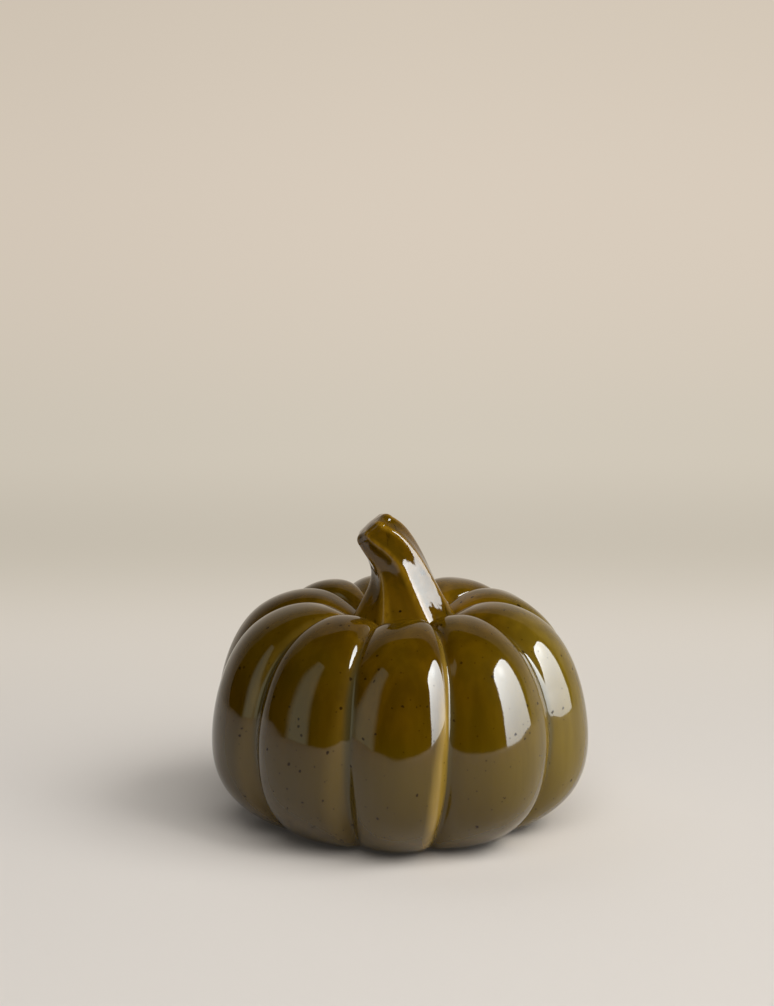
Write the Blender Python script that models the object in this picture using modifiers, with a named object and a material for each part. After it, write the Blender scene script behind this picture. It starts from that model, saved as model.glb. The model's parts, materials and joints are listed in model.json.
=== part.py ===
"""Glazed ceramic pumpkin figure.

A ribbed hollow body cast in one uniform wall, a twisted hollow stem luted into
the dimple on top, and felt pads under the wiped foot.
Metres, +Z up. The figure stands on the ground plane with its front towards -Y.
"""

import math

import bmesh
import bpy
import numpy as np
from mathutils import Vector

MM = 0.001

# Body: profiles run from the vent under the stem, over the shoulder, to the foot.
# Each station is (radius, height) in millimetres above the underside of the pads.
LOBES = 10
CREST_PROFILE = (
    (7.4, 63.6),
    (15.7, 69.2),
    (29.3, 75.5),
    (50.9, 67.4),
    (62.9, 38.2),
    (58.6, 13.2),
    (40.4, 0.5),
    (33.0, 1.3),
)
GROOVE_PROFILE = (
    (6.6, 61.6),
    (16.0, 63.4),
    (29.4, 69.2),
    (47.7, 62.9),
    (57.3, 38.6),
    (50.9, 16.1),
    (39.1, 1.7),
    (33.0, 1.3),
)
# Lobe edges wander from an even tenth of a turn, in degrees, and more so near the top.
GROOVE_SHIFT = (-2.6, 3.0, 0.0, 0.7, 2.2, 5.0, 0.6, -1.6, 0.9, 1.1)
TOP_GROOVE_SHIFT = (10.0, -4.2, 2.7, 0.6, 2.7, 11.0, 0.3, 0.3, 1.6, -2.7)
GROOVE_SHIFT_REACH = 0.6
GROOVE_SHIFT_EASE = 1.2
# Lobe crests stand a little proud of, or inside, the common profile.
LOBE_SWELL = (0.021, 0.019, 0.008, -0.058, -0.011, 0.004, 0.015, 0.021, 0.016, -0.018)
# Crests lean to one side of their lobe, as a share of its width.
LOBE_LEAN = (0.13, -0.06, 0.02, 0.0, 0.0, 0.0, 0.0, 0.0, 0.0, 0.01)
# Cross-section of a lobe at three places down the profile, vent to foot.
SECTION_HEIGHTS = (0.20, 0.50, 0.85)
LOBE_FULLNESS = (2.4, 2.05, 2.4)
LOBE_ROUNDNESS = (0.26, 0.80, 0.38)
TOP_TWIST_DEG = 0.9
FOOT_TWIST_DEG = -3.2
TWIST_EASE = 1.6
STEPS_PER_LOBE = 8
BODY_RINGS = 22
BODY_WALL = 4.2 * MM

# Foot: a flat wiped ring, then a step up to a recess with the drain hole.
FOOT_INNER_RADIUS = 24.0
FOOT_HEIGHT = 1.3
RECESS_RADIUS = 20.5
RECESS_HEIGHT = 4.2
DRAIN_RADIUS = 5.0

# Stem: centreline stations (x, z) and mean radius in millimetres, seat to tip.
STEM_STATIONS = (
    (1.3, 58.0, 18.8),
    (1.1, 65.5, 17.6),
    (1.0, 70.0, 15.8),
    (0.7, 78.6, 11.3),
    (-1.3, 87.7, 8.3),
    (-5.4, 94.8, 7.5),
    (-8.4, 98.6, 6.6),
)
# Seven ridges: the one at the right swings back round to the front as the stem rises.
STEM_RIDGES = 7
STEM_RIDGE_AZIMUTH_DEG = 91.0
STEM_TWIST_DEG = -60.0
STEM_TWIST_EASE = 1.6
STEM_RIDGE_AT_SEAT = 0.13
STEM_RIDGE_AT_TIP = 0.088
STEM_CREST_EXPONENT = 1.3
STEM_SIDES = 42
STEM_RINGS = 18
STEM_EDGE_RADIUS = 2.7 * MM
STEM_EDGE_STEPS = 3
STEM_BORE_SHARE = 0.52
STEM_BORE_END = 0.80
STEM_BORE_SIDES = 16
STEM_BORE_RINGS = 10
JOINT_GAP = 0.3 * MM

# Felt pads under the foot ring.
PAD_COUNT = 4
PAD_RADIUS = 4.0 * MM
PAD_THICKNESS = 1.0 * MM
PAD_RING_RADIUS = 28.5 * MM
PAD_FIRST_DEG = 45.0
PAD_EDGE = 0.15 * MM
PAD_SIDES = 24


def clear_scene():
    for obj in list(bpy.data.objects):
        bpy.data.objects.remove(obj, do_unlink=True)


def new_collection(name):
    collection = bpy.data.collections.new(name)
    bpy.context.scene.collection.children.link(collection)
    return collection


def make_material(name, colour, roughness, metallic=0.0, coat=0.0):
    material = bpy.data.materials.new(name)
    material.use_nodes = True
    shader = material.node_tree.nodes["Principled BSDF"]
    shader.inputs["Base Color"].default_value = (*colour, 1.0)
    shader.inputs["Roughness"].default_value = roughness
    shader.inputs["Metallic"].default_value = metallic
    shader.inputs["Coat Weight"].default_value = coat
    return material


def smooth_curve(stations, count):
    """Natural cubic spline through the stations, sampled at even parameter steps."""
    points = np.array(stations, dtype=float)
    chords = np.linalg.norm(np.diff(points[:, :2], axis=0), axis=1)
    knots = np.concatenate(([0.0], np.cumsum(np.sqrt(chords))))
    knots /= knots[-1]
    last = len(knots) - 1
    system = np.zeros((last + 1, last + 1))
    target = np.zeros_like(points)
    system[0, 0] = 1.0
    system[last, last] = 1.0
    for i in range(1, last):
        before = knots[i] - knots[i - 1]
        after = knots[i + 1] - knots[i]
        system[i, i - 1] = before
        system[i, i] = 2.0 * (before + after)
        system[i, i + 1] = after
        rise = (points[i + 1] - points[i]) / after
        fall = (points[i] - points[i - 1]) / before
        target[i] = 6.0 * (rise - fall)
    bend = np.linalg.solve(system, target)
    samples = []
    for u in np.linspace(0.0, 1.0, count):
        i = min(int(np.searchsorted(knots, u, side="right")) - 1, last - 1)
        span = knots[i + 1] - knots[i]
        a = (knots[i + 1] - u) / span
        b = 1.0 - a
        curl = (a**3 - a) * bend[i] + (b**3 - b) * bend[i + 1]
        samples.append(a * points[i] + b * points[i + 1] + curl * span**2 / 6.0)
    return np.array(samples)


def lobe_position(step, down):
    """Azimuth in radians, crest share and swell at a step around and a share down."""
    lobe, inside = divmod(step + STEPS_PER_LOBE // 2, STEPS_PER_LOBE)
    lobe %= LOBES
    pitch = 360.0 / LOBES
    drift = max(0.0, 1.0 - down / GROOVE_SHIFT_REACH) ** GROOVE_SHIFT_EASE
    start = pitch * (lobe - 0.5) + GROOVE_SHIFT[lobe - 1] + TOP_GROOVE_SHIFT[lobe - 1] * drift
    end = pitch * (lobe + 0.5) + GROOVE_SHIFT[lobe] + TOP_GROOVE_SHIFT[lobe] * drift
    share = inside / STEPS_PER_LOBE
    across = share - 0.5
    across -= LOBE_LEAN[lobe] * (1.0 - 4.0 * across * across)
    fullness = float(np.interp(down, SECTION_HEIGHTS, LOBE_FULLNESS))
    roundness = float(np.interp(down, SECTION_HEIGHTS, LOBE_ROUNDNESS))
    crest = max(0.0, 1.0 - abs(2.0 * across) ** fullness) ** roundness
    swell = 1.0 + LOBE_SWELL[lobe] * math.cos(math.pi * (share - 0.5)) ** 2
    return math.radians(start + share * (end - start)), crest, swell


def body_point(step, ring, rings, crests, grooves):
    """Point on the lobed skin at a step around and a ring down the profile."""
    down = ring / rings
    azimuth, share, swell = lobe_position(step, down)
    groove = grooves[ring]
    radius, height = groove + (crests[ring] - groove) * share
    top_ease = max(0.0, 1.0 - 2.0 * down) ** TWIST_EASE
    foot_ease = max(0.0, 2.0 * down - 1.0) ** TWIST_EASE
    azimuth += math.radians(TOP_TWIST_DEG * top_ease + FOOT_TWIST_DEG * foot_ease)
    seat = min(1.0, max(0.0, (radius - FOOT_INNER_RADIUS) / FOOT_INNER_RADIUS))
    radius *= 1.0 + (swell - 1.0) * seat
    return Vector((math.sin(azimuth) * radius, -math.cos(azimuth) * radius, height)) * MM


def lobed_surface(name, collection, material, closed):
    """Sphere grid reshaped to the lobed skin, then carried on under the foot."""
    steps = LOBES * STEPS_PER_LOBE
    crests = smooth_curve(CREST_PROFILE, BODY_RINGS + 1)
    grooves = smooth_curve(GROOVE_PROFILE, BODY_RINGS + 1)
    foot = [
        (FOOT_INNER_RADIUS, FOOT_HEIGHT),
        (RECESS_RADIUS, RECESS_HEIGHT),
        (DRAIN_RADIUS, RECESS_HEIGHT),
    ]
    rows = BODY_RINGS + 1 + len(foot)
    mesh = bpy.data.meshes.new(name)
    grid = bmesh.new()
    bmesh.ops.create_uvsphere(grid, u_segments=steps, v_segments=rows + 1, radius=1.0)
    poles = [v for v in grid.verts if abs(v.co.z) > 0.99999]
    for vert in grid.verts:
        if vert in poles:
            continue
        turn = math.atan2(vert.co.x, -vert.co.y) / (2.0 * math.pi)
        step = round(turn * steps) % steps
        row = round(math.acos(vert.co.z) / math.pi * (rows + 1)) - 1
        if row <= BODY_RINGS:
            vert.co = body_point(step, row, BODY_RINGS, crests, grooves)
            continue
        radius, height = foot[row - BODY_RINGS - 1]
        azimuth = lobe_position(step, 1.0)[0] + math.radians(FOOT_TWIST_DEG)
        vert.co = Vector((math.sin(azimuth) * radius, -math.cos(azimuth) * radius, height)) * MM
    if closed:
        poles.sort(key=lambda v: v.co.z)
        poles[0].co = Vector((0.0, 0.0, RECESS_HEIGHT * MM))
        poles[1].co = Vector((0.0, 0.0, CREST_PROFILE[0][1] * MM))
    else:
        bmesh.ops.delete(grid, geom=poles, context="VERTS")
    grid.to_mesh(mesh)
    grid.free()
    mesh.shade_smooth()
    obj = bpy.data.objects.new(name, mesh)
    obj.data.materials.append(material)
    collection.objects.link(obj)
    return obj


def loft(name, rings, collection, material):
    """Closed tube through rings of points, each ring with the same point count."""
    mesh = bpy.data.meshes.new(name)
    shape = bmesh.new()
    rows = [[shape.verts.new(point) for point in ring] for ring in rings]
    sides = len(rings[0])
    for lower, upper in zip(rows, rows[1:]):
        for i in range(sides):
            j = (i + 1) % sides
            shape.faces.new((lower[i], lower[j], upper[j], upper[i]))
    shape.faces.new(list(reversed(rows[0])))
    shape.faces.new(rows[-1])
    bmesh.ops.recalc_face_normals(shape, faces=shape.faces)
    shape.to_mesh(mesh)
    shape.free()
    mesh.shade_smooth()
    mesh.set_sharp_from_angle(angle=math.radians(50.0))
    obj = bpy.data.objects.new(name, mesh)
    obj.data.materials.append(material)
    collection.objects.link(obj)
    return obj


def stem_frame(path, index):
    """Centre, sideways direction and upward direction of one stem ring."""
    ahead = path[min(index + 1, len(path) - 1)]
    behind = path[max(index - 1, 0)]
    along = Vector((ahead[0] - behind[0], 0.0, ahead[1] - behind[1])).normalized()
    across = Vector((along.z, 0.0, -along.x))
    centre = Vector((path[index][0], 0.0, path[index][1])) * MM
    return centre, across, along


def ridge_turn(rise):
    """Angle of the front right ridge about the stem's own axis, +X towards +Y."""
    return math.radians(
        STEM_RIDGE_AZIMUTH_DEG - 90.0 + STEM_TWIST_DEG * rise**STEM_TWIST_EASE
    )


def ridge_share(angle):
    """Height of the ridged section: 1 on a crest, -1 midway between crests."""
    return 1.0 - 2.0 * abs(math.sin(0.5 * STEM_RIDGES * angle)) ** STEM_CREST_EXPONENT


def stem_ring(frame, mean, rise, sides, inset=0.0, lift=0.0, depth=0.0):
    """Ring of points square to the centreline, its first point on a ridge crest."""
    centre, across, along = frame
    points = []
    for i in range(sides):
        angle = 2.0 * math.pi * i / sides
        radius = mean * MM * (1.0 + depth * ridge_share(angle)) - inset
        turned = angle + ridge_turn(rise)
        side = across * math.cos(turned) * radius
        front = Vector((0.0, math.sin(turned) * radius, 0.0))
        points.append(centre + side + front + along * lift)
    return points


def stem_rings():
    path = smooth_curve(STEM_STATIONS, STEM_RINGS)
    rings = []
    for i, station in enumerate(path):
        rise = i / (STEM_RINGS - 1)
        depth = STEM_RIDGE_AT_SEAT + (STEM_RIDGE_AT_TIP - STEM_RIDGE_AT_SEAT) * rise
        frame = stem_frame(path, i)
        rings.append(stem_ring(frame, station[2], rise, STEM_SIDES, depth=depth))
    top = stem_frame(path, STEM_RINGS - 1)
    for i in range(1, STEM_EDGE_STEPS + 1):
        turn = 0.5 * math.pi * i / STEM_EDGE_STEPS
        inset = STEM_EDGE_RADIUS * (1.0 - math.cos(turn))
        lift = STEM_EDGE_RADIUS * math.sin(turn)
        mean = path[-1][2]
        rings.append(
            stem_ring(top, mean, 1.0, STEM_SIDES, inset, lift, STEM_RIDGE_AT_TIP)
        )
    return rings


def bore_rings():
    """Cavity inside the stem, open at the seat and stopping short of the tip."""
    path = smooth_curve(STEM_STATIONS, STEM_RINGS)
    last = round(STEM_BORE_END * (STEM_RINGS - 1))
    rings = []
    for i in np.linspace(0, last, STEM_BORE_RINGS).round().astype(int):
        mean = path[i][2] * STEM_BORE_SHARE
        rings.append(stem_ring(stem_frame(path, i), mean, 0.0, STEM_BORE_SIDES))
    return rings


def cut(target, cutter):
    modifier = target.modifiers.new(cutter.name, "BOOLEAN")
    modifier.operation = "DIFFERENCE"
    modifier.solver = "EXACT"
    modifier.object = cutter
    cutter.hide_render = True
    cutter.display_type = "WIRE"


def make_pad(name, collection, material, azimuth):
    """Thin felt disc with a softened rim, standing on the ground plane."""
    mesh = bpy.data.meshes.new(name)
    disc = bmesh.new()
    bmesh.ops.create_cone(
        disc,
        cap_ends=True,
        segments=PAD_SIDES,
        radius1=PAD_RADIUS,
        radius2=PAD_RADIUS,
        depth=PAD_THICKNESS,
    )
    disc.to_mesh(mesh)
    disc.free()
    mesh.shade_smooth()
    mesh.set_sharp_from_angle(angle=math.radians(60.0))
    pad = bpy.data.objects.new(name, mesh)
    pad.data.materials.append(material)
    pad.location = (
        math.sin(azimuth) * PAD_RING_RADIUS,
        -math.cos(azimuth) * PAD_RING_RADIUS,
        0.5 * PAD_THICKNESS,
    )
    rim = pad.modifiers.new("rim", "BEVEL")
    rim.width = PAD_EDGE
    rim.segments = 1
    rim.limit_method = "ANGLE"
    collection.objects.link(pad)
    return pad


def centre_of(obj):
    """Middle of an object's plan outline."""
    xs = [v.co.x for v in obj.data.vertices]
    ys = [v.co.y for v in obj.data.vertices]
    return Vector((0.5 * (min(xs) + max(xs)), 0.5 * (min(ys) + max(ys)), 0.0))


def build():
    clear_scene()
    parts = new_collection("ceramic_pumpkin_figure")
    cutters = new_collection("cutters")
    body_glaze = make_material("body_glaze", (0.150, 0.098, 0.024), 0.08, coat=1.0)
    stem_glaze = make_material("stem_glaze", (0.210, 0.115, 0.016), 0.08, coat=1.0)
    felt = make_material("pad_felt", (0.120, 0.105, 0.085), 0.95)

    base = bpy.data.objects.new("figure_base", None)
    parts.objects.link(base)

    body = lobed_surface("body_shell", parts, body_glaze, closed=False)
    wall = body.modifiers.new("wall", "SOLIDIFY")
    wall.thickness = BODY_WALL
    wall.offset = -1.0
    wall.use_even_offset = False

    seat = lobed_surface("seat_cutter", cutters, body_glaze, closed=True)
    clearance = seat.modifiers.new("clearance", "DISPLACE")
    clearance.strength = JOINT_GAP
    clearance.mid_level = 0.0

    bore = loft("bore_cutter", bore_rings(), cutters, stem_glaze)
    stem = loft("stem", stem_rings(), parts, stem_glaze)
    cut(stem, bore)
    cut(stem, seat)

    pads = []
    for i in range(PAD_COUNT):
        azimuth = math.radians(PAD_FIRST_DEG + 360.0 * i / PAD_COUNT)
        pads.append(make_pad(f"foot_pad_{i + 1}", parts, felt, azimuth))

    for obj in [body, stem, seat, bore, *pads]:
        obj.parent = base
    base.location = -centre_of(body)


build()
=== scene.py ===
import json
import math

import bmesh
import bpy
import numpy as np
from mathutils import Matrix, Vector

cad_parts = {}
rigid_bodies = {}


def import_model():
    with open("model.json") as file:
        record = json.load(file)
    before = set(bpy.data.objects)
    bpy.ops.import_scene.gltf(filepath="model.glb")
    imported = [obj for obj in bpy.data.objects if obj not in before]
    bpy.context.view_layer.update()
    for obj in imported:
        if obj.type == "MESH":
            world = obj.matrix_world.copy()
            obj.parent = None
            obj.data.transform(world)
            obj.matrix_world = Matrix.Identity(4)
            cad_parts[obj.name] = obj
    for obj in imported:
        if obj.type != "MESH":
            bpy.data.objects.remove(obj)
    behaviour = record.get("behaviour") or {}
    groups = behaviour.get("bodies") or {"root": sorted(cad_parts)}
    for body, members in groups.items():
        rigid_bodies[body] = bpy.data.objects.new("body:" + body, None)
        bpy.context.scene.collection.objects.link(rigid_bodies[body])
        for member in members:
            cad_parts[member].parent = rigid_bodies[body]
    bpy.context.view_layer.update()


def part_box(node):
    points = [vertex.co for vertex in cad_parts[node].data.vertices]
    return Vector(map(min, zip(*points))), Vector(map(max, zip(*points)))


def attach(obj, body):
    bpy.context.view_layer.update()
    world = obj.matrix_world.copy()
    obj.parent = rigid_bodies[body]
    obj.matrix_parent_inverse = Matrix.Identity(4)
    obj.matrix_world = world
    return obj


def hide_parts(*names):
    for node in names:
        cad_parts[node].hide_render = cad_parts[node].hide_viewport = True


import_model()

MM = 0.001

# ---------------------------------------------------------------------------
# Shape of the glazed body, in millimetres about its own axis. The same rules as
# the solid model, sampled finely, with the grooves rounded over by the glaze.
# ---------------------------------------------------------------------------
LOBES = 10
CREST_PROFILE = (
    (7.4, 63.6),
    (15.7, 69.2),
    (29.3, 75.5),
    (50.9, 67.4),
    (62.9, 38.2),
    (58.6, 13.2),
    (40.4, 0.5),
    (33.0, 1.3),
)
GROOVE_PROFILE = (
    (6.6, 61.6),
    (16.0, 63.4),
    (29.4, 69.2),
    (47.7, 62.9),
    (57.3, 38.6),
    (50.9, 16.1),
    (39.1, 1.7),
    (33.0, 1.3),
)
# Lobe edges wander from an even tenth of a turn, in degrees, and more so near the top.
GROOVE_SHIFT = (-2.6, 3.0, 0.0, 0.7, 2.2, 5.0, 0.6, -1.6, 0.9, 1.1)
TOP_GROOVE_SHIFT = (10.0, -4.2, 2.7, 0.6, 2.7, 11.0, 0.3, 0.3, 1.6, -2.7)
GROOVE_SHIFT_REACH = 0.6
GROOVE_SHIFT_EASE = 1.2
# Lobe crests stand a little proud of, or inside, the common profile.
LOBE_SWELL = (0.021, 0.019, 0.008, -0.058, -0.011, 0.004, 0.015, 0.021, 0.016, -0.018)
# Crests lean to one side of their lobe, as a share of its width.
LOBE_LEAN = (0.13, -0.06, 0.02, 0.0, 0.0, 0.0, 0.0, 0.0, 0.0, 0.01)
# Cross-section of a lobe at three places down the profile, vent to foot.
SECTION_HEIGHTS = (0.20, 0.50, 0.85)
LOBE_FULLNESS = (2.4, 2.05, 2.4)
LOBE_ROUNDNESS = (0.26, 0.80, 0.38)
TOP_TWIST_DEG = 0.9
FOOT_TWIST_DEG = -3.2
TWIST_EASE = 1.6
GROOVE_SOFTNESS = 0.022

FOOT_INNER_RADIUS = 24.0
UNDERSIDE_PROFILE = (
    (32.6, 1.3),
    (28.5, 1.3),
    (24.4, 1.3),
    (23.9, 1.5),
    (21.1, 4.0),
    (20.5, 4.2),
    (13.0, 4.3),
    (5.6, 4.3),
    (5.1, 4.6),
    (5.0, 5.4),
    (5.0, 7.8),
    (5.6, 8.4),
    (24.0, 8.5),
    (38.0, 10.5),
    (46.0, 18.0),
    (52.0, 37.0),
    (43.0, 55.0),
    (28.0, 61.5),
    (14.0, 58.5),
    (6.4, 57.5),
    (6.0, 58.2),
)

BODY_STEPS = 40
BODY_RINGS = 150
SECTION_OVERSAMPLE = 8

# Stem: centreline (x, z) and mean radius, seat to tip. Its ridges are shallower than
# the solid model's, so that its faces are nearly flat between them.
STEM_STATIONS = (
    (1.3, 58.0, 18.8),
    (1.1, 65.5, 17.6),
    (1.0, 70.0, 15.8),
    (0.7, 78.6, 11.3),
    (-1.3, 87.7, 8.3),
    (-5.4, 94.8, 7.5),
    (-8.4, 98.5, 6.6),
)
STEM_RIDGES = 7
STEM_RIDGE_AZIMUTH_DEG = 91.0
STEM_TWIST_DEG = -60.0
STEM_TWIST_EASE = 1.6
STEM_RIDGE_AT_SEAT = 0.028
STEM_RIDGE_AT_TIP = 0.050
STEM_CREST_EXPONENT = 1.3
STEM_EDGE_RADIUS = 2.7
STEM_GIRTH = 1.07
STEM_CAP_RISE = 0.35
STEM_CAP_HOLLOW = 0.6
STEM_EDGE_STEPS = 12
STEM_CAP_STEPS = 16
STEM_SIDES = 210
STEM_RINGS = 120


def natural_spline(stations, count):
    """Natural cubic spline through the stations, sampled at even parameter steps."""
    points = np.array(stations, dtype=float)
    chords = np.linalg.norm(np.diff(points[:, :2], axis=0), axis=1)
    knots = np.concatenate(([0.0], np.cumsum(np.sqrt(chords))))
    knots /= knots[-1]
    last = len(knots) - 1
    system = np.zeros((last + 1, last + 1))
    target = np.zeros_like(points)
    system[0, 0] = 1.0
    system[last, last] = 1.0
    for i in range(1, last):
        before = knots[i] - knots[i - 1]
        after = knots[i + 1] - knots[i]
        system[i, i - 1 : i + 2] = before, 2.0 * (before + after), after
        rise = (points[i + 1] - points[i]) / after
        fall = (points[i] - points[i - 1]) / before
        target[i] = 6.0 * (rise - fall)
    bend = np.linalg.solve(system, target)
    u = np.linspace(0.0, 1.0, count)
    i = np.clip(np.searchsorted(knots, u, side="right") - 1, 0, last - 1)
    span = (knots[i + 1] - knots[i])[:, None]
    a = (knots[i + 1] - u)[:, None] / span
    b = 1.0 - a
    curl = (a**3 - a) * bend[i] + (b**3 - b) * bend[i + 1]
    return a * points[i] + b * points[i + 1] + curl * span**2 / 6.0


def lobe_section(fullness, roundness, lean):
    """Crest share across one lobe on every ring, its grooves rounded over by the glaze."""
    fine = SECTION_OVERSAMPLE * BODY_STEPS
    t = (np.arange(fine) + 0.5) / fine - 0.5
    leaning = t - lean * (1.0 - 4.0 * t * t)
    share = np.maximum(0.0, 1.0 - np.abs(2.0 * leaning) ** fullness[:, None]) ** roundness[:, None]
    wave = np.fft.rfft(share, axis=1)
    turns = np.arange(wave.shape[1])
    soft = np.fft.irfft(wave * np.exp(-2.0 * (math.pi * turns * GROOVE_SOFTNESS) ** 2), fine, axis=1)
    spot = SECTION_OVERSAMPLE * np.arange(BODY_STEPS)
    return 0.5 * (soft[:, spot] + soft[:, spot - 1])


def body_grid():
    """Outer skin of the body (rings x sides x 3) with its crest share and place across the lobe."""
    crests = natural_spline(CREST_PROFILE, BODY_RINGS + 1)
    grooves = natural_spline(GROOVE_PROFILE, BODY_RINGS + 1)
    down = np.linspace(0.0, 1.0, BODY_RINGS + 1)
    fullness = np.interp(down, SECTION_HEIGHTS, LOBE_FULLNESS)
    roundness = np.interp(down, SECTION_HEIGHTS, LOBE_ROUNDNESS)
    drift = np.clip(1.0 - down / GROOVE_SHIFT_REACH, 0.0, 1.0)[:, None] ** GROOVE_SHIFT_EASE
    pitch = 360.0 / LOBES
    t = np.arange(BODY_STEPS) / BODY_STEPS
    azimuths, shares, swells, flanks = [], [], [], []
    for lobe in range(LOBES):
        start = pitch * (lobe - 0.5) + GROOVE_SHIFT[lobe - 1] + TOP_GROOVE_SHIFT[lobe - 1] * drift
        end = pitch * (lobe + 0.5) + GROOVE_SHIFT[lobe] + TOP_GROOVE_SHIFT[lobe] * drift
        azimuths.append(np.radians(start + t[None, :] * (end - start)))
        shares.append(lobe_section(fullness, roundness, LOBE_LEAN[lobe]))
        swells.append(1.0 + LOBE_SWELL[lobe] * np.cos(math.pi * (t - 0.5)) ** 2)
        flanks.append(t - 0.5)
    azimuths, shares = np.concatenate(azimuths, axis=1), np.concatenate(shares, axis=1)
    swells, flanks = np.concatenate(swells), np.concatenate(flanks)
    line = grooves[:, None, :] + (crests - grooves)[:, None, :] * shares[:, :, None]
    radius, height = line[..., 0], line[..., 1]
    top_ease = np.maximum(0.0, 1.0 - 2.0 * down) ** TWIST_EASE
    foot_ease = np.maximum(0.0, 2.0 * down - 1.0) ** TWIST_EASE
    turn = azimuths + np.radians(TOP_TWIST_DEG * top_ease + FOOT_TWIST_DEG * foot_ease)[:, None]
    seat = np.clip((radius - FOOT_INNER_RADIUS) / FOOT_INNER_RADIUS, 0.0, 1.0)
    radius = radius * (1.0 + (swells[None, :] - 1.0) * seat)
    grid = np.stack((np.sin(turn) * radius, -np.cos(turn) * radius, height), axis=-1)
    return grid, shares, np.broadcast_to(flanks, shares.shape)


def underside_grid(last_ring):
    """Foot ring, recess, drain and inner wall, following on from the last ring of the skin."""
    turn = np.arctan2(last_ring[:, 0], -last_ring[:, 1])
    rings = [
        np.stack((np.sin(turn) * r, -np.cos(turn) * r, np.full(len(turn), z)), axis=-1)
        for r, z in UNDERSIDE_PROFILE
    ]
    return np.array(rings)


def grid_mesh(name, grid, loop=False, close_end=False, flip=False):
    """Mesh from rings of points (metres), each ring closed on itself."""
    rings, sides = grid.shape[:2]
    mesh = bpy.data.meshes.new(name)
    index = np.arange(rings * sides).reshape(rings, sides)
    a = index if loop else index[:-1]
    b = np.roll(index, -1, axis=0) if loop else index[1:]
    quads = np.stack((a, b, np.roll(b, -1, axis=1), np.roll(a, -1, axis=1)), axis=-1).reshape(-1, 4)
    if flip:
        quads = quads[:, ::-1]
    faces = quads.tolist()
    if close_end:
        faces.append((index[-1] if flip else index[-1][::-1]).tolist())
    mesh.from_pydata(grid.reshape(-1, 3).tolist(), [], faces)
    mesh.update()
    mesh.shade_smooth()
    return mesh


def put_attribute(mesh, name, values):
    layer = mesh.attributes.new(name, "FLOAT", "POINT")
    layer.data.foreach_set("value", np.asarray(values, dtype=np.float32).ravel())


def add_piece(name, mesh, material, replaced):
    piece = bpy.data.objects.new(name, mesh)
    bpy.context.scene.collection.objects.link(piece)
    piece.data.materials.append(material)
    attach(piece, "root")
    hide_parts(replaced)


def stem_axis():
    path = natural_spline(STEM_STATIONS, STEM_RINGS)
    along = np.gradient(path[:, :2], axis=0)
    along /= np.linalg.norm(along, axis=1)[:, None]
    return path, along


def ridge_share(angle):
    return 1.0 - 2.0 * np.abs(np.sin(0.5 * STEM_RIDGES * angle)) ** STEM_CREST_EXPONENT


def stem_grid():
    """Stem skin in millimetres, rings x sides x 3, with its ridge share and rise."""
    path, along = stem_axis()
    angle = 2.0 * math.pi * np.arange(STEM_SIDES) / STEM_SIDES
    share = ridge_share(angle)
    rings, rises, shares = [], [], []

    def ring(i, rise, inset, lift, reach=1.0):
        depth = STEM_RIDGE_AT_SEAT + (STEM_RIDGE_AT_TIP - STEM_RIDGE_AT_SEAT) * rise
        radius = (path[i, 2] * STEM_GIRTH * (1.0 + depth * share * reach**2) - inset) * reach
        turned = angle + math.radians(STEM_RIDGE_AZIMUTH_DEG - 90.0 + STEM_TWIST_DEG * rise**STEM_TWIST_EASE)
        ax, az = along[i]
        x = path[i, 0] + az * np.cos(turned) * radius + ax * lift
        z = path[i, 1] - ax * np.cos(turned) * radius + az * lift
        rings.append(np.stack((x, np.sin(turned) * radius, z), axis=-1))
        rises.append(np.full(STEM_SIDES, rise))
        shares.append(share * reach**2 - STEM_CAP_HOLLOW * (1.0 - reach))

    tip = STEM_RINGS - 1
    for i in range(STEM_RINGS):
        ring(i, i / tip, 0.0, 0.0)
    for k in range(1, STEM_EDGE_STEPS + 1):
        turn = 0.5 * math.pi * k / STEM_EDGE_STEPS
        ring(tip, 1.0, STEM_EDGE_RADIUS * (1.0 - math.cos(turn)), STEM_EDGE_RADIUS * math.sin(turn))
    for k in range(1, STEM_CAP_STEPS):
        reach = 1.0 - k / STEM_CAP_STEPS
        ring(tip, 1.0, STEM_EDGE_RADIUS, STEM_EDGE_RADIUS + STEM_CAP_RISE * (1.0 - reach**2), reach)
    return np.array(rings), np.array(shares), np.array(rises)


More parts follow.
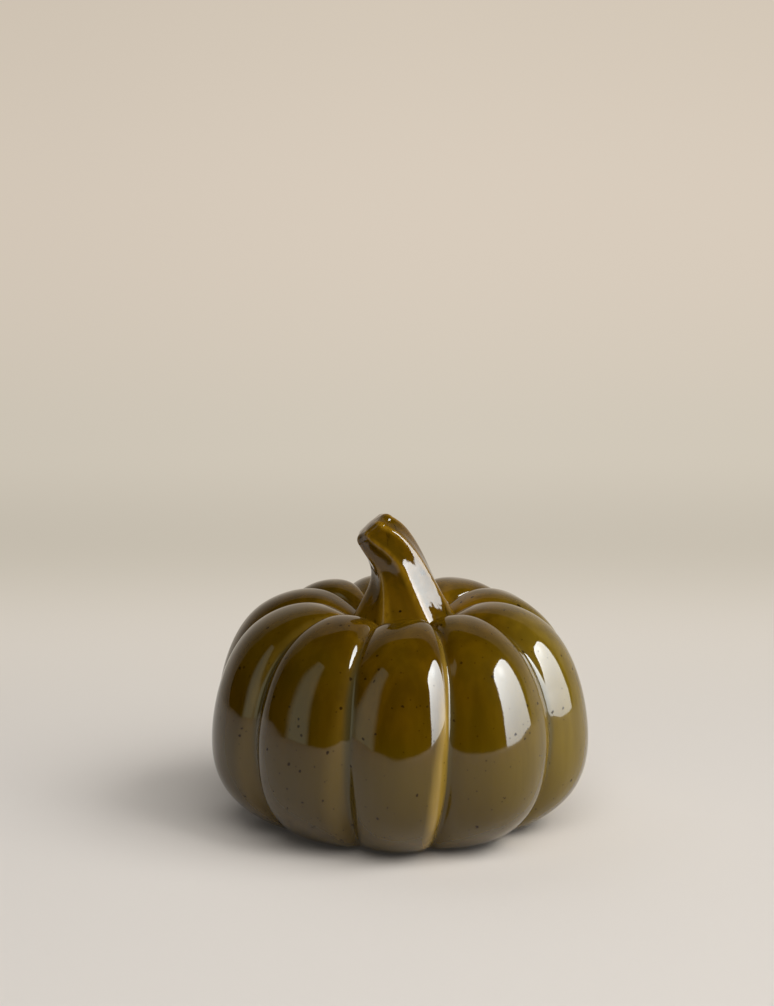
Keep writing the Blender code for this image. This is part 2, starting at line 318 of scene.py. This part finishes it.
# ---------------------------------------------------------------------------
# Materials
# ---------------------------------------------------------------------------
class Net:
    """Short hand for wiring a material's nodes."""

    def __init__(self, name):
        self.material = bpy.data.materials.new(name)
        self.material.use_nodes = True
        self.tree = self.material.node_tree
        self.shader = self.tree.nodes["Principled BSDF"]
        self.place = self.add("TexCoord").outputs["Object"]

    def add(self, kind, values=None, **settings):
        made = self.tree.nodes.new("ShaderNode" + kind)
        for key, value in settings.items():
            setattr(made, key, value)
        for key, value in (values or {}).items():
            self.plug(value, made.inputs[key])
        return made

    def plug(self, value, socket):
        if isinstance(value, bpy.types.NodeSocket):
            self.tree.links.new(value, socket)
        elif socket.type == "RGBA" and len(value) == 3:
            socket.default_value = (*value, 1.0)
        else:
            socket.default_value = value

    def stored(self, name):
        return self.add("Attribute", attribute_name=name).outputs["Fac"]

    def stretched(self, scales):
        return self.add("VectorMath", {0: self.place, 1: scales}, operation="MULTIPLY").outputs[0]

    def noise(self, scale, detail=2.0, rough=0.5, distortion=0.0, where=None):
        values = {"Scale": scale, "Detail": detail, "Roughness": rough, "Distortion": distortion}
        return self.add("TexNoise", {**values, "Vector": where or self.place}).outputs["Fac"]

    def ease(self, value, low, high, start=0.0, end=1.0, kind="SMOOTHSTEP"):
        """Value carried from one range to another, held at its ends."""
        values = {"Value": value, "From Min": low, "From Max": high, "To Min": start, "To Max": end}
        return self.add("MapRange", values, interpolation_type=kind).outputs["Result"]

    def ramp(self, value, low, high, start=0.0, end=1.0):
        return self.ease(value, low, high, start, end, "LINEAR")

    def axes(self):
        return self.add("SeparateXYZ", {0: self.place}).outputs

    def sums(self, operation, first, second):
        return self.add("Math", {0: first, 1: second}, operation=operation).outputs[0]

    def blend(self, share, first, second):
        return self.add("Mix", {0: share, 6: first, 7: second}, data_type="RGBA").outputs[2]

    def dots(self, scale, radius, share, ragged):
        """Mask of round specks: a share of the cells of a scattered pattern hold one."""
        wander = self.add("TexNoise", {"Vector": self.place, "Scale": 900.0, "Detail": 2.0}).outputs["Color"]
        shifted = self.add(
            "VectorMath", {0: wander, 1: (ragged,) * 3, 2: self.place}, operation="MULTIPLY_ADD"
        ).outputs[0]
        cells = self.add("TexVoronoi", {"Vector": shifted, "Scale": scale})
        near = self.ease(cells.outputs["Distance"], 0.55 * radius * scale, radius * scale, 1.0, 0.0)
        pick = self.add("SeparateColor", {0: cells.outputs["Color"]}).outputs[0]
        held = self.add("Math", {0: pick, 1: share}, operation="LESS_THAN").outputs[0]
        return self.sums("MULTIPLY", near, held)

    def bump(self, height, distance, under=None):
        values = {"Height": height, "Distance": distance, "Strength": 1.0}
        if under:
            values["Normal"] = under
        return self.add("Bump", values).outputs["Normal"]

    def surface(self, socket):
        self.plug(socket, self.tree.nodes["Material Output"].inputs["Surface"])
        return self.material

    def finish(self, colour, roughness, normal):
        self.plug(colour, self.shader.inputs["Base Color"])
        self.plug(roughness, self.shader.inputs["Roughness"])
        self.plug(normal, self.shader.inputs["Normal"])
        return self.material


def body_glaze_material():
    """Olive-brown glaze: amber where it thins and as painted light on the tops, cooler where it pools, iron
    specks throughout, a painted key-light wash on the right side, gold flank lines that are partly painted
    highlight, and painted shade on the left.
    """
    net = Net("body_glaze_fired")
    net.shader.inputs["IOR"].default_value = GLAZE_IOR
    crest, gold_and_key_light, rise, bare = (net.stored(name) for name in ("crest", "gold_and_key_light", "rise", "bare"))
    runs = net.ease(net.noise(1.0, 3.0, 0.55, where=net.stretched((150.0, 150.0, 16.0))), 0.32, 0.70)
    clouds = net.ease(net.noise(42.0, 3.0), 0.35, 0.68)
    colour = net.blend(net.sums("MULTIPLY", runs, 0.75), GLAZE_DEEP, GLAZE_WARM)
    olive = net.sums("MAXIMUM", net.sums("MULTIPLY", clouds, 0.35), net.ease(rise, 0.50, 0.63, 0.0, 0.85))
    colour = net.blend(olive, colour, GLAZE_OLIVE)
    across = net.axes()["X"]
    # Painted light: a golden-green wash over the right side of the body, where the key light falls.
    painted_key_light = net.sums("MULTIPLY", net.ease(across, 0.023, 0.058), net.ease(runs, 0.0, 1.0, 0.75, 1.0))
    colour = net.blend(painted_key_light, colour, GLAZE_PAINTED_KEY_LIGHT)
    # Amber where the glaze thins near the top, also painted light from above on the tops of the lobes.
    thin_and_top_light = net.ease(rise, 0.30, 0.12)
    thin_and_top_light = net.sums("MULTIPLY", thin_and_top_light, net.ease(runs, 0.0, 1.0, 0.35, 0.95))
    colour = net.blend(thin_and_top_light, colour, GLAZE_AMBER_AND_TOP_LIGHT)
    # Gold flank lines: a glaze break, partly painted highlight where the key light falls.
    line = net.sums("MULTIPLY", gold_and_key_light, net.ease(runs, 0.0, 1.0, 0.75, 1.0))
    colour = net.blend(line, colour, GLAZE_GOLD_AND_KEY_LIGHT)
    # Painted shade: the left side of the body darkened.
    shade = net.sums("MULTIPLY", net.ease(across, 0.006, -0.045), 0.42)
    colour = net.blend(shade, colour, GLAZE_PAINTED_SHADE)
    core = net.sums("MULTIPLY", net.ease(crest, 0.34, 0.06), net.ease(rise, 0.05, 0.25, 0.35, 0.8))
    colour = net.blend(core, colour, GLAZE_POOL)
    fine = net.sums("MULTIPLY", net.dots(380.0, 0.00037, 0.60, 0.0004), 0.60)
    bold = net.sums("MULTIPLY", net.dots(250.0, 0.00064, 0.52, 0.0012), 0.85)
    specks = net.sums("MAXIMUM", fine, bold)
    colour = net.blend(specks, colour, GLAZE_IRON)
    grain = net.ease(net.noise(1100.0, 3.0), 0.25, 0.75)
    clay = net.blend(grain, CLAY_DARK, CLAY_PALE)
    colour = net.blend(bare, colour, clay)
    rough = net.ease(clouds, 0.0, 1.0, 0.040, 0.060)
    rough = net.sums("MAXIMUM", rough, net.sums("MULTIPLY", specks, 0.16))
    rough = net.sums("MAXIMUM", rough, net.sums("MULTIPLY", bare, 0.78))
    gloss = net.ease(specks, 0.0, 1.0, 0.5, 0.15)
    net.plug(gloss, net.shader.inputs["Specular IOR Level"])
    wave = net.bump(net.noise(75.0, 1.0), 0.00020)
    peel = net.bump(net.noise(420.0, 1.0), 0.000008, wave)
    normal = net.bump(net.sums("MULTIPLY", grain, bare), 0.00006, peel)
    return net.finish(colour, rough, normal)


def stem_glaze_material():
    """Thinner, more fluid amber glaze, broken to gold on the ridges and dark in the hollows."""
    net = Net("stem_glaze_fired")
    net.shader.inputs["IOR"].default_value = GLAZE_IOR
    crest, rise = net.stored("crest"), net.stored("rise")
    runs = net.noise(1.0, 4.0, 0.6, 0.8, where=net.stretched((260.0, 260.0, 70.0)))
    clouds = net.noise(130.0, 3.0, 0.55, 0.6)
    colour = net.blend(net.ease(clouds, 0.34, 0.62), STEM_DEEP, STEM_AMBER)
    ridge = net.sums("MULTIPLY", net.ease(crest, -0.2, 0.9), net.ease(runs, 0.3, 0.6, 0.35, 1.0))
    colour = net.blend(ridge, colour, STEM_GOLD)
    blots = net.sums("MULTIPLY", net.ease(runs, 0.56, 0.68), net.ease(crest, 0.7, -0.4, 0.25, 0.85))
    colour = net.blend(blots, colour, STEM_DARK)
    foot = net.sums("MULTIPLY", net.ease(rise, 0.42, 0.22), 0.55)
    colour = net.blend(foot, colour, GLAZE_OLIVE)
    specks = net.sums("MULTIPLY", net.dots(210.0, 0.0006, 0.2, 0.0006), 0.9)
    colour = net.blend(specks, colour, GLAZE_IRON)
    rough = net.ease(clouds, 0.3, 0.7, 0.035, 0.06)
    wave = net.bump(net.noise(150.0, 2.0), 0.00022)
    normal = net.bump(runs, 0.00005, wave)
    return net.finish(colour, rough, normal)


def felt_material():
    """Pressed wool felt for the pads."""
    net = Net("pad_felt_fibres")
    net.shader.inputs["Sheen Weight"].default_value = 0.25
    strands = net.noise(1.0, 4.0, 0.7, 1.5, where=net.stretched((2600.0, 2600.0, 900.0)))
    tufts = net.noise(900.0, 3.0)
    colour = net.blend(net.ease(strands, 0.35, 0.65), (0.055, 0.048, 0.038), (0.150, 0.132, 0.108))
    colour = net.blend(net.sums("MULTIPLY", tufts, 0.4), colour, (0.095, 0.083, 0.066))
    rough = net.ease(strands, 0.3, 0.7, 0.88, 0.98)
    return net.finish(colour, rough, net.bump(strands, 0.0001))


# ---------------------------------------------------------------------------
# Pieces
# ---------------------------------------------------------------------------
GLAZE_IOR = 1.52
GLAZE_DEEP = (0.058, 0.0285, 0.0003)
GLAZE_WARM = (0.104, 0.051, 0.0006)
GLAZE_OLIVE = (0.078, 0.0490, 0.0004)
# Painted key light on the right side of the body.
GLAZE_PAINTED_KEY_LIGHT = (0.176, 0.118, 0.0090)
# Amber of thin glaze, also painted light on the tops of the lobes.
GLAZE_AMBER_AND_TOP_LIGHT = (0.190, 0.096, 0.0040)
# Gold of the flank lines, partly painted highlight.
GLAZE_GOLD_AND_KEY_LIGHT = (0.330, 0.212, 0.0330)
# Painted shade on the left side of the body.
GLAZE_PAINTED_SHADE = (0.026, 0.014, 0.0003)
GLAZE_POOL = (0.056, 0.048, 0.0190)
GLAZE_IRON = (0.012, 0.005, 0.0003)
CLAY_DARK = (0.33, 0.25, 0.17)
CLAY_PALE = (0.50, 0.40, 0.29)
STEM_AMBER = (0.100, 0.049, 0.0010)
STEM_GOLD = (0.200, 0.106, 0.0050)
STEM_DEEP = (0.070, 0.037, 0.0010)
STEM_DARK = (0.016, 0.008, 0.0006)
# How golden the glaze breaks on the right flank of each lobe: partly a real glaze break, partly a painted
# highlight set lobe by lobe where the key light catches the flank. The line starts at
# a place across the lobe (half a lobe is 0.5) and widens towards the foot.
GOLD_FLANK_AND_KEY_LIGHT = (1.0, 0.60, 0.45, 0.30, 0.45, 0.30, 0.50, 0.35, 0.35, 0.15)
GOLD_ONSET = 0.40
GOLD_WIDENING = 0.12
GOLD_WIDENS_BELOW = 0.38
GOLD_WIDENS_OVER = 0.30
GOLD_INNER_EDGE = 0.09
GOLD_OUTER_EDGE = 0.03
# The underside is bare clay where the foot was wiped, and in the drain.
WIPED_RADIUS = 24.0
WIPED_BELOW = 1.4
DRAIN_FROM = 5.0

body_lo, body_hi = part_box("body_shell")
stem_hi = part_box("stem")[1]
skin, skin_share, skin_flank = body_grid()
plan_lo = skin.reshape(-1, 3).min(axis=0)
plan_hi = skin.reshape(-1, 3).max(axis=0)
PLAN_CENTRE = 0.5 * (plan_lo + plan_hi)[:2]
PLAN_FIT = min(
    (body_hi[0] - body_lo[0]) / MM / (plan_hi[0] - plan_lo[0]),
    (body_hi[1] - body_lo[1]) / MM / (plan_hi[1] - plan_lo[1]),
    1.0,
)
AXIS = np.array([0.5 * (body_lo[0] + body_hi[0]) / MM, 0.5 * (body_lo[1] + body_hi[1]) / MM])


def to_frame(points, ceiling):
    """Millimetres about the body's own axis to metres in the frame, kept under a ceiling."""
    out = points.copy()
    out[..., :2] = (out[..., :2] - PLAN_CENTRE) * PLAN_FIT + AXIS
    out *= MM
    out[..., 2] *= min(1.0, ceiling / out[..., 2].max())
    return out


under = underside_grid(skin[-1])
body_points = np.concatenate((skin, under))
body_mesh = grid_mesh("glazed_body", to_frame(body_points, body_hi[2]), loop=True)
rows, sides = body_points.shape[:2]
below = len(under)
put_attribute(body_mesh, "crest", np.concatenate((skin_share, np.ones((below, sides)))))
lobe_gold_and_key_light = np.repeat(np.array(GOLD_FLANK_AND_KEY_LIGHT), sides // LOBES)[None, :]
down = np.arange(len(skin)) / (BODY_RINGS - 1)
widening = np.clip((down - GOLD_WIDENS_BELOW) / GOLD_WIDENS_OVER, 0.0, 1.0)[:, None]
onset = GOLD_ONSET - GOLD_WIDENING * widening
inner = np.clip((skin_flank - onset) / GOLD_INNER_EDGE, 0.0, 1.0)
outer = np.clip((0.5 - skin_flank) / GOLD_OUTER_EDGE, 0.0, 1.0)
gold_and_key_light = lobe_gold_and_key_light * inner * outer
put_attribute(body_mesh, "gold_and_key_light", np.concatenate((gold_and_key_light, np.zeros((below, sides)))))
drop = np.minimum(np.arange(rows) / BODY_RINGS, 1.0)
put_attribute(body_mesh, "rise", np.repeat(drop[:, None], sides, axis=1))
wiped = [float((r > WIPED_RADIUS and z < WIPED_BELOW) or z > DRAIN_FROM) for r, z in UNDERSIDE_PROFILE]
bare = np.concatenate((np.zeros(len(skin)), wiped))
put_attribute(body_mesh, "bare", np.repeat(bare[:, None], sides, axis=1))
add_piece("glazed_body", body_mesh, body_glaze_material(), "body_shell")

stem_skin, stem_share, stem_rise = stem_grid()
stem_mesh = grid_mesh("glazed_stem", to_frame(stem_skin, stem_hi[2]), close_end=True, flip=True)
put_attribute(stem_mesh, "crest", stem_share)
put_attribute(stem_mesh, "rise", stem_rise)
add_piece("glazed_stem", stem_mesh, stem_glaze_material(), "stem")

felt = felt_material()
for i in range(1, 5):
    pad = bpy.data.objects[f"foot_pad_{i}"]
    for slot in pad.material_slots:
        slot.material = felt

# ---------------------------------------------------------------------------
# Stage, light and camera
# ---------------------------------------------------------------------------
CAMERA_ELEVATION_DEG = 15.92
CAMERA_DISTANCE = 1.0033
CAMERA_LENS = 107.05
CAMERA_AIM_UP_DEG = 3.83
CAMERA_AIM_LEFT_DEG = 0.27
AIM_HEIGHT = 0.039

FLOOR_COLOUR = (0.69, 0.648, 0.598)
# Share of the floor that glows as painted light, lifting its shadows.
FLOOR_GLOW = 0.03
# The floor darkens towards the lamps in front, which would burn it out.
FLOOR_DIM_START = -0.70
FLOOR_DIM_END = -2.40
FLOOR_DIM = 0.42
BACKDROP_START = -0.02
BACKDROP_FULL = 0.36
# Painted light: the backdrop's glow, with tones along its depth that paint where it lies lighter and darker.
BACKDROP_TONES = (
    (-0.20, (0.700, 0.650, 0.595)),
    (0.20, (0.700, 0.638, 0.555)),
    (0.42, (0.582, 0.528, 0.441)),
    (0.64, (0.638, 0.578, 0.484)),
    (0.90, (0.690, 0.603, 0.503)),
    (1.05, (0.645, 0.565, 0.465)),
)
BACKDROP_LEFT_SHADE = 0.94
BACKDROP_SHADE_FROM = 0.05
BACKDROP_SHADE_TO = -0.30
# Out of the camera's sight the backdrop dims along an axis, from a place where it is
# full to a place where only a share of it is left.
BACKDROP_FADES = (
    ("Z", 0.25, 1.20, 0.42),
    ("X", -0.45, -1.60, 0.45),
    ("X", 0.60, 1.80, 0.70),
)
SWEEP_START = 0.60
SWEEP_RADIUS = 0.45
SWEEP_STEPS = 24
SWEEP_TOP = 2.15
SWEEP_HALF_WIDTH = 2.4
FLOOR_REACH = 7.0
PANEL_DISTANCE = 2.0
PANEL_CORNER_STEPS = 8
FILL_COLOUR = (1.0, 0.985, 0.97)


def direction(azimuth_deg, elevation_deg):
    """Unit vector: azimuth 0 towards the camera's side (-Y), 90 towards +X."""
    a = math.radians(azimuth_deg)
    e = math.radians(elevation_deg)
    return Vector((math.sin(a) * math.cos(e), -math.cos(a) * math.cos(e), math.sin(e)))


def stage_object(name, mesh, material):
    mesh.materials.append(material)
    mesh.shade_smooth()
    obj = bpy.data.objects.new(name, mesh)
    bpy.context.scene.collection.objects.link(obj)
    return obj


def strip(sheet, line):
    """Faces between two edges that follow a line of (y, z) points; returns the edges."""
    left = [sheet.verts.new((-SWEEP_HALF_WIDTH, y, z)) for y, z in line]
    right = [sheet.verts.new((SWEEP_HALF_WIDTH, y, z)) for y, z in line]
    for i in range(len(line) - 1):
        sheet.faces.new((left[i], right[i], right[i + 1], left[i + 1]))
    return left, right


def sheet_mesh(name, sheet):
    mesh = bpy.data.meshes.new(name)
    sheet.to_mesh(mesh)
    sheet.free()
    return mesh


def paper_material():
    """Paper lit by the lamps near the figure; behind it, it glows as painted light, in tones that paint the
    lighter and darker bands across the backdrop.
    """
    net = Net("studio_paper")
    net.shader.inputs["Roughness"].default_value = 0.9
    net.shader.inputs["Specular IOR Level"].default_value = 0.0
    axes = net.axes()
    dim = net.ease(axes["Y"], FLOOR_DIM_START, FLOOR_DIM_END)
    lit = net.blend(dim, FLOOR_COLOUR, tuple(FLOOR_DIM * c for c in FLOOR_COLOUR))
    net.plug(lit, net.shader.inputs["Base Color"])
    first, last = BACKDROP_TONES[0][0], BACKDROP_TONES[-1][0]
    tone = net.add("ValToRGB", {"Fac": net.ramp(axes["Y"], first, last)})
    stops = tone.color_ramp.elements
    tone.color_ramp.interpolation = "EASE"
    while len(stops) < len(BACKDROP_TONES):
        stops.new(0.5)
    for stop, (y, colour) in zip(stops, BACKDROP_TONES):
        stop.position = (y - first) / (last - first)
        stop.color = (*colour, 1.0)
    strength = net.ease(axes["X"], BACKDROP_SHADE_TO, BACKDROP_SHADE_FROM, BACKDROP_LEFT_SHADE, 1.0)
    for axis, full, dimmest, share in BACKDROP_FADES:
        strength = net.sums("MULTIPLY", strength, net.ramp(axes[axis], full, dimmest, 1.0, share))
    glow = net.add("Emission", {"Color": tone.outputs["Color"], "Strength": strength}).outputs[0]
    back = net.ease(axes["Y"], BACKDROP_START, BACKDROP_FULL, FLOOR_GLOW, 1.0)
    return net.surface(net.add("MixShader", {0: back, 1: net.shader.outputs[0], 2: glow}).outputs[0])


def add_paper():
    """Pale floor that sweeps up into an evenly lit backdrop behind the figure."""
    line = [(-FLOOR_REACH, 0.0), (SWEEP_START, 0.0)]
    for i in range(1, SWEEP_STEPS + 1):
        turn = 0.5 * math.pi * i / SWEEP_STEPS
        line.append((SWEEP_START + SWEEP_RADIUS * math.sin(turn), SWEEP_RADIUS * (1.0 - math.cos(turn))))
    line.append((SWEEP_START + SWEEP_RADIUS, SWEEP_TOP))
    floor = bmesh.new()
    for side, inner in zip((-1.0, 1.0), strip(floor, line[:2])):
        near = floor.verts.new((side * FLOOR_REACH, -FLOOR_REACH, 0.0))
        mid = floor.verts.new((side * FLOOR_REACH, SWEEP_START, 0.0))
        quad = (inner[0], near, mid, inner[1])
        floor.faces.new(quad if side > 0.0 else quad[::-1])
    wall = bmesh.new()
    strip(wall, line[1:])
    material = paper_material()
    stage_object("paper", sheet_mesh("paper", floor), material)
    stage_object("backdrop", sheet_mesh("backdrop", wall), material).visible_diffuse = False


def panel_matrix(azimuth_deg, distance, height):
    """Upright panel facing the figure, its middle at the given azimuth."""
    out = direction(azimuth_deg, 0.0)
    place = out * distance + Vector((0.0, 0.0, 0.5 * height))
    turn = (-out).to_track_quat("Z", "Y")
    return Matrix.Translation(place) @ turn.to_matrix().to_4x4()


def panel_material(name, width, height, glow, fall, edge, spot):
    """Glow that grows from foot to top and from side to side, soft at its sides, with a hot spot."""
    net = Net(name)
    net.tree.nodes.remove(net.shader)
    axes = net.axes()
    strength = net.ramp(axes["Y"], -0.5 * height, 0.5 * height, *glow)
    strength = net.sums("MULTIPLY", strength, net.ramp(axes["X"], -0.5 * width, 0.5 * width, fall))
    wide = net.sums("ABSOLUTE", axes["X"], 0.0)
    strength = net.sums("MULTIPLY", strength, net.ease(wide, 0.5 * width - edge, 0.5 * width, 1.0, 0.0))
    if spot:
        across, up, reach, power = spot
        away = net.add("VectorMath", {0: net.place, 1: (across, up, 0.0)}, operation="DISTANCE")
        hot = net.ease(away.outputs["Value"], 0.0, reach, power, 0.0, "SMOOTHERSTEP")
        strength = net.sums("ADD", strength, hot)
    return net, strength


def add_panel(name, azimuth_deg, size, corner, glow, colour, fall, edge, spot=None):
    """Glowing diffuser on the floor, seen in the glaze: a rounded top and soft sides."""
    width, height = size
    sheet = bmesh.new()
    rim = []
    for side, first in ((1, 0), (-1, 90)):
        for k in range(PANEL_CORNER_STEPS + 1):
            a = math.radians(first + 90.0 * k / PANEL_CORNER_STEPS)
            x = side * (0.5 * width - corner) + corner * math.cos(a)
            rim.append(sheet.verts.new((x, 0.5 * height - corner + corner * math.sin(a), 0.0)))
    for side in (-1, 1):
        rim.append(sheet.verts.new((side * 0.5 * width, -0.5 * height, 0.0)))
    sheet.faces.new(rim)
    net, strength = panel_material(name, width, height, glow, fall, edge, spot)
    light = net.add("Emission", {"Color": colour, "Strength": strength}).outputs[0]
    panel = stage_object(name, sheet_mesh(name, sheet), net.surface(light))
    panel.matrix_world = panel_matrix(azimuth_deg, PANEL_DISTANCE, height)
    panel.visible_camera = False
    panel.visible_diffuse = False


def add_light(name, azimuth_deg, elevation_deg, distance, size, watts, colour=(1.0, 1.0, 1.0)):
    """Soft area light facing the figure; the panels stand in for it in the glaze."""
    data = bpy.data.lights.new(name, "AREA")
    data.shape = "RECTANGLE"
    data.size, data.size_y = size
    data.energy = watts
    data.color = colour
    light = bpy.data.objects.new(name, data)
    out = direction(azimuth_deg, elevation_deg)
    light.matrix_world = Matrix.Translation(out * distance) @ out.to_track_quat("Z", "Y").to_matrix().to_4x4()
    light.visible_camera = False
    light.visible_glossy = False
    bpy.context.scene.collection.objects.link(light)


def add_world():
    """Dark studio for reflections, pale surroundings for the camera, a little fill."""
    world = bpy.data.worlds.new("studio")
    bpy.context.scene.world = world
    world.use_nodes = True
    nodes = world.node_tree.nodes
    links = world.node_tree.links
    nodes.clear()
    output = nodes.new("ShaderNodeOutputWorld")
    path = nodes.new("ShaderNodeLightPath")
    dark = nodes.new("ShaderNodeBackground")
    dark.inputs["Color"].default_value = (0.004, 0.003, 0.002, 1.0)
    pale = nodes.new("ShaderNodeBackground")
    pale.inputs["Color"].default_value = (0.66, 0.59, 0.50, 1.0)
    fill = nodes.new("ShaderNodeBackground")
    fill.inputs["Color"].default_value = (0.9, 0.95, 1.0, 1.0)
    fill.inputs["Strength"].default_value = 0.03
    first = nodes.new("ShaderNodeMixShader")
    second = nodes.new("ShaderNodeMixShader")
    links.new(path.outputs["Is Diffuse Ray"], first.inputs["Fac"])
    links.new(dark.outputs[0], first.inputs[1])
    links.new(fill.outputs[0], first.inputs[2])
    links.new(path.outputs["Is Camera Ray"], second.inputs["Fac"])
    links.new(first.outputs[0], second.inputs[1])
    links.new(pale.outputs[0], second.inputs[2])
    links.new(second.outputs[0], output.inputs["Surface"])


def add_camera():
    data = bpy.data.cameras.new("camera")
    data.lens = CAMERA_LENS
    data.sensor_width = 36.0
    data.clip_start = 0.05
    data.clip_end = 50.0
    camera = bpy.data.objects.new("camera", data)
    target = Vector((*(AXIS - PLAN_CENTRE) * MM, AIM_HEIGHT))
    camera.location = target + direction(0.0, CAMERA_ELEVATION_DEG) * CAMERA_DISTANCE
    pitch = math.radians(90.0 - CAMERA_ELEVATION_DEG + CAMERA_AIM_UP_DEG)
    camera.rotation_euler = (pitch, 0.0, math.radians(CAMERA_AIM_LEFT_DEG))
    bpy.context.scene.collection.objects.link(camera)
    bpy.context.scene.camera = camera


add_paper()
add_panel(
    "softbox",
    azimuth_deg=80.0,
    size=(1.85, 2.15),
    corner=0.60,
    glow=(7.2, 22.5),
    colour=(0.96, 1.0, 1.0),
    fall=0.62,
    edge=0.06,
    spot=(0.05, 0.62, 0.5, 3.5),
)
add_panel(
    "left_card",
    azimuth_deg=-64.0,
    size=(1.05, 2.6),
    corner=0.05,
    glow=(0.8, 0.55),
    colour=(0.92, 1.0, 0.78),
    fall=1.0,
    edge=0.32,
)
add_light("key", azimuth_deg=69.0, elevation_deg=36.0, distance=2.4, size=(1.8, 1.9), watts=58.0)
add_light("fill", 16.0, 53.0, 3.2, (3.2, 2.6), 74.0, FILL_COLOUR)
add_light("back_fill", 205.0, 50.0, 3.2, (3.0, 2.4), 26.0, FILL_COLOUR)
add_world()
add_camera()
bpy.context.scene.view_settings.view_transform = "Standard"
